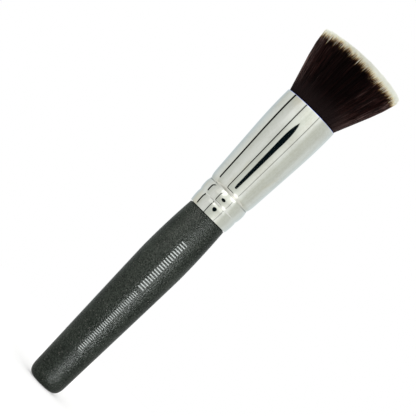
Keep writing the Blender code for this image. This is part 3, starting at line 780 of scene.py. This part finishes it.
tentLook = {            # azimuth in degrees from -Y towards +X, elevation above the horizon
    "plain": (1.0, 1.0, 0.985),
    "walls": (          # azimuth and tone of the tent's cloth
        (-180, (0.84, 0.90, 0.93)), (-140, (0.88, 0.93, 0.95)), (-112, (0.97, 1.00, 0.99)),
        (-98, (1.00, 1.01, 0.97)), (-89, (0.80, 0.82, 0.78)), (-78, (0.84, 0.86, 0.82)),
        (-50, (1.02, 1.03, 1.01)), (-34, (0.98, 1.00, 0.97)), (-22, (0.80, 0.82, 0.77)),
        (10, (0.92, 0.95, 0.88)), (26, (1.04, 1.05, 0.99)), (44, (1.02, 1.04, 1.01)),
        (60, (0.85, 0.87, 0.80)), (92, (0.82, 0.84, 0.79)), (108, (0.95, 0.98, 0.96)),
        (130, (0.96, 1.00, 1.00)), (150, (1.06, 1.10, 1.10)), (180, (0.90, 0.94, 0.96))),
    "frontGlow": 0.20, "frontAzimuths": (60.0, 44.0), "frontElevations": (-2.5, 3.0),
    "seams": (          # azimuth, half width, depth, lowest and highest elevation, bend high up and low down
        (-90.6, 4.3, 0.99, -12, 20, 13, 0), (-28.5, 2.3, 0.93, -28, 26, 5, 4),
        (36.5, 1.7, 0.60, -20, 24, 0, 0)),
    "seamEdge": 0.6, "seamEnd": 2.0, "bendHigh": (9.0, 26.0), "bendLow": (-21.0, -29.0),
    "ledge": (-27, 14, -27, 2.0, 0.85),        # two azimuths, elevation, half height and depth
    "ledgeEnds": (1.0, 8.0),
    "opening": (0.9, -3.0, 10.8, 4.9),         # azimuth, elevation, half width and half height
    "openingTone": (0.003, 0.008, 0.011), "openingPower": 1.3, "openingEdge": (1.12, 0.92),
    "glows": (          # azimuth, elevation, radius and strength
        (-14, 8, 17, 0.20), (-19, 14, 8, 0.30), (-21, 30, 19, 0.90), (35, 37, 20, 0.85),
        (27, -36, 20, 0.90), (12, 40, 45, 0.25), (35, -30, 36, 0.22)),
    "glowCore": 0.3, "overhead": (1.50, 1.56, 1.66), "overheadFrom": (36.0, 52.0),
}


# The unit vector from the brush towards an azimuth and an elevation
def towards(degrees, up):
    a, e = math.radians(degrees), math.radians(up)
    return Vector((math.sin(a) * math.cos(e), -math.cos(a) * math.cos(e), math.sin(e)))


# 1 where a value is within half a width of the middle, with a soft edge, and 0 beyond it
def softBand(tree, value, middle, halfWidth, edge):
    away = mathNode(tree, "ABSOLUTE", mathNode(tree, "SUBTRACT", value, middle))
    return softStep(tree, away, halfWidth + edge, halfWidth - edge)


# A level dimmed by the depth where the darkness is 1, and left as it is where that is 0
def dimmed(tree, level, dark, depth):
    return mathNode(tree, "MULTIPLY", level, mathNode(tree, "MULTIPLY_ADD", dark, -depth, 1.0))


world = bpy.data.worlds.new("light_tent")
scene.world = world
world.use_nodes = True
tree = world.node_tree
background = tree.nodes["Background"]
skyward = addNode(tree, "TexCoord").outputs["Generated"]
direction = addNode(tree, "SeparateXYZ", {"Vector": skyward})
azimuth = mathNode(tree, "DEGREES", mathNode(
    tree, "ARCTAN2", direction.outputs["X"], mathNode(tree, "MULTIPLY", direction.outputs["Y"], -1.0)))
elevation = mathNode(tree, "DEGREES", mathNode(tree, "ARCSINE", direction.outputs["Z"]))
walls = rampNode(tree, mathNode(tree, "MULTIPLY_ADD", azimuth, 1 / 360, 0.5),
                 [((degrees + 180) / 360, tone) for degrees, tone in tentLook["walls"]])
front = softStep(tree, mathNode(tree, "ABSOLUTE", azimuth), *tentLook["frontAzimuths"])
front = mathNode(tree, "MULTIPLY", front, softStep(tree, elevation, *tentLook["frontElevations"]))
level = mathNode(tree, "MULTIPLY_ADD", front, tentLook["frontGlow"], 1.0)
seamEnd = tentLook["seamEnd"]
for degrees, halfWidth, depth, lowest, highest, bend, lowBend in tentLook["seams"]:
    nearHorizon = mathNode(tree, "MULTIPLY", softStep(tree, elevation, lowest - seamEnd, lowest + seamEnd),
                           softStep(tree, elevation, highest + seamEnd, highest - seamEnd))
    middle = mathNode(tree, "MULTIPLY_ADD", softStep(tree, elevation, *tentLook["bendHigh"]), bend, mathNode(
        tree, "MULTIPLY_ADD", softStep(tree, elevation, *tentLook["bendLow"]), lowBend, degrees))
    seam = softBand(tree, azimuth, middle, halfWidth, tentLook["seamEdge"])
    level = dimmed(tree, level, mathNode(tree, "MULTIPLY", seam, nearHorizon), depth)
ledgeStart, ledgeEnd, ledgeHeight, ledgeHalf, ledgeDepth = tentLook["ledge"]
startSoft, endSoft = tentLook["ledgeEnds"]
ledge = mathNode(tree, "MULTIPLY", softStep(tree, azimuth, ledgeStart - startSoft, ledgeStart + startSoft),
                 softStep(tree, azimuth, ledgeEnd + endSoft, ledgeEnd - endSoft))
nearLedge = softBand(tree, elevation, ledgeHeight, ledgeHalf, tentLook["seamEdge"])
level = dimmed(tree, level, mathNode(tree, "MULTIPLY", ledge, nearLedge), ledgeDepth)
tent = mixValue(tree, walls, level, "MULTIPLY")
tent = mixColour(tree, softStep(tree, elevation, *tentLook["overheadFrom"]), tent, tentLook["overhead"])
for degrees, up, radius, strength in tentLook["glows"]:
    near = addNode(tree, "VectorMath", {0: skyward, 1: towards(degrees, up)}, operation="DOT_PRODUCT")
    dim, full = (math.cos(math.radians(radius * share)) for share in (1, tentLook["glowCore"]))
    bright = mathNode(tree, "MULTIPLY", softStep(tree, near.outputs["Value"], dim, full), strength)
    tent = mixValue(tree, tent, bright, "ADD")
middleAzimuth, middleElevation, openingWidth, openingHeight = tentLook["opening"]
byWidth = mathNode(tree, "DIVIDE", mathNode(tree, "SUBTRACT", azimuth, middleAzimuth), openingWidth)
byHeight = mathNode(tree, "DIVIDE", mathNode(tree, "SUBTRACT", elevation, middleElevation), openingHeight)
byWidth = mathNode(tree, "POWER", mathNode(tree, "ABSOLUTE", byWidth), tentLook["openingPower"])
fromOpening = mathNode(tree, "ADD", byWidth, mathNode(tree, "MULTIPLY", byHeight, byHeight))
inOpening = softStep(tree, fromOpening, *tentLook["openingEdge"])
tent = mixColour(tree, inOpening, tent, tentLook["openingTone"])
rays = addNode(tree, "LightPath")
light = mixColour(tree, rays.outputs["Is Glossy Ray"], tentLook["plain"], tent)
seen = mathNode(tree, "MAXIMUM", rays.outputs["Is Camera Ray"], rays.outputs["Is Transmission Ray"])
link(tree, mixColour(tree, seen, light, (1.0, 1.0, 1.0)), background, "Color")

# Azimuth, elevation, distance, height aimed at, width and length, power, and the tint of those that only
# make a gleam on the lacquer
lampLooks = {
    "low_front": (27, -22, 0.19, 0.080, (0.040, 0.040), 1.8, (0.96, 1.0, 1.0)),
    "broad_front": (25, 3, 0.45, 0.030, (0.13, 0.12), 3.3, (0.97, 1.0, 0.98)),
    "low_left": (-58, 4, 0.45, 0.050, (0.20, 0.16), 0.85, (1.0, 1.0, 0.95)),
    "near_left": (-42, 14, 0.10, 0.086, (0.06, 0.03), 0.15, (1.0, 0.96, 0.95)),
    "near_right": (52, 14, 0.10, 0.088, (0.05, 0.03), 0.06, (1.0, 0.96, 0.95)),
    "high_left": (-27, 33, 0.70, 0.100, (0.22, 0.22), 0.50, None),
    "high_right": (32, 40, 0.70, 0.090, (0.20, 0.20), 0.66, None),
}
lacquered = bpy.data.collections.new("lacquered")
lacquered.objects.link(handle)
for name, (degrees, up, distance, aim, (width, length), power, tint) in lampLooks.items():
    lamp = bpy.data.lights.new(name, "AREA")
    lamp.shape, lamp.size, lamp.size_y, lamp.energy = "RECTANGLE", width, length, power
    away = towards(degrees, up)
    lampPlace = Matrix.Translation(Vector((0, 0, aim)) + away * distance)
    lampObject = bpy.data.objects.new(name, lamp)
    lampObject.matrix_world = lampPlace @ away.to_track_quat("Z", "Y").to_matrix().to_4x4()
    lampObject.visible_camera = False
    lampObject.visible_diffuse = tint is None
    lampObject.visible_glossy = tint is not None
    scene.collection.objects.link(lampObject)
    if tint:
        lamp.color = tint
        lampObject.light_linking.receiver_collection = lacquered

cameraLook = {
    "place": (-0.00199, -0.64, 0.09045), "right": (0.70951, 0, 0.70469), "lens": 147.7, "nearest": 0.01,
}
camera = bpy.data.objects.new("camera", bpy.data.cameras.new("camera"))
camera.data.lens = cameraLook["lens"]
camera.data.clip_start = cameraLook["nearest"]
right = Vector(cameraLook["right"]).normalized()
back = Vector((0, -1, 0))
cameraTurn = Matrix((right, back.cross(right), back)).transposed()
camera.matrix_world = Matrix.Translation(cameraLook["place"]) @ cameraTurn.to_4x4()
scene.collection.objects.link(camera)
scene.camera = camera
scene.view_settings.view_transform = "Standard"
print("stage set")
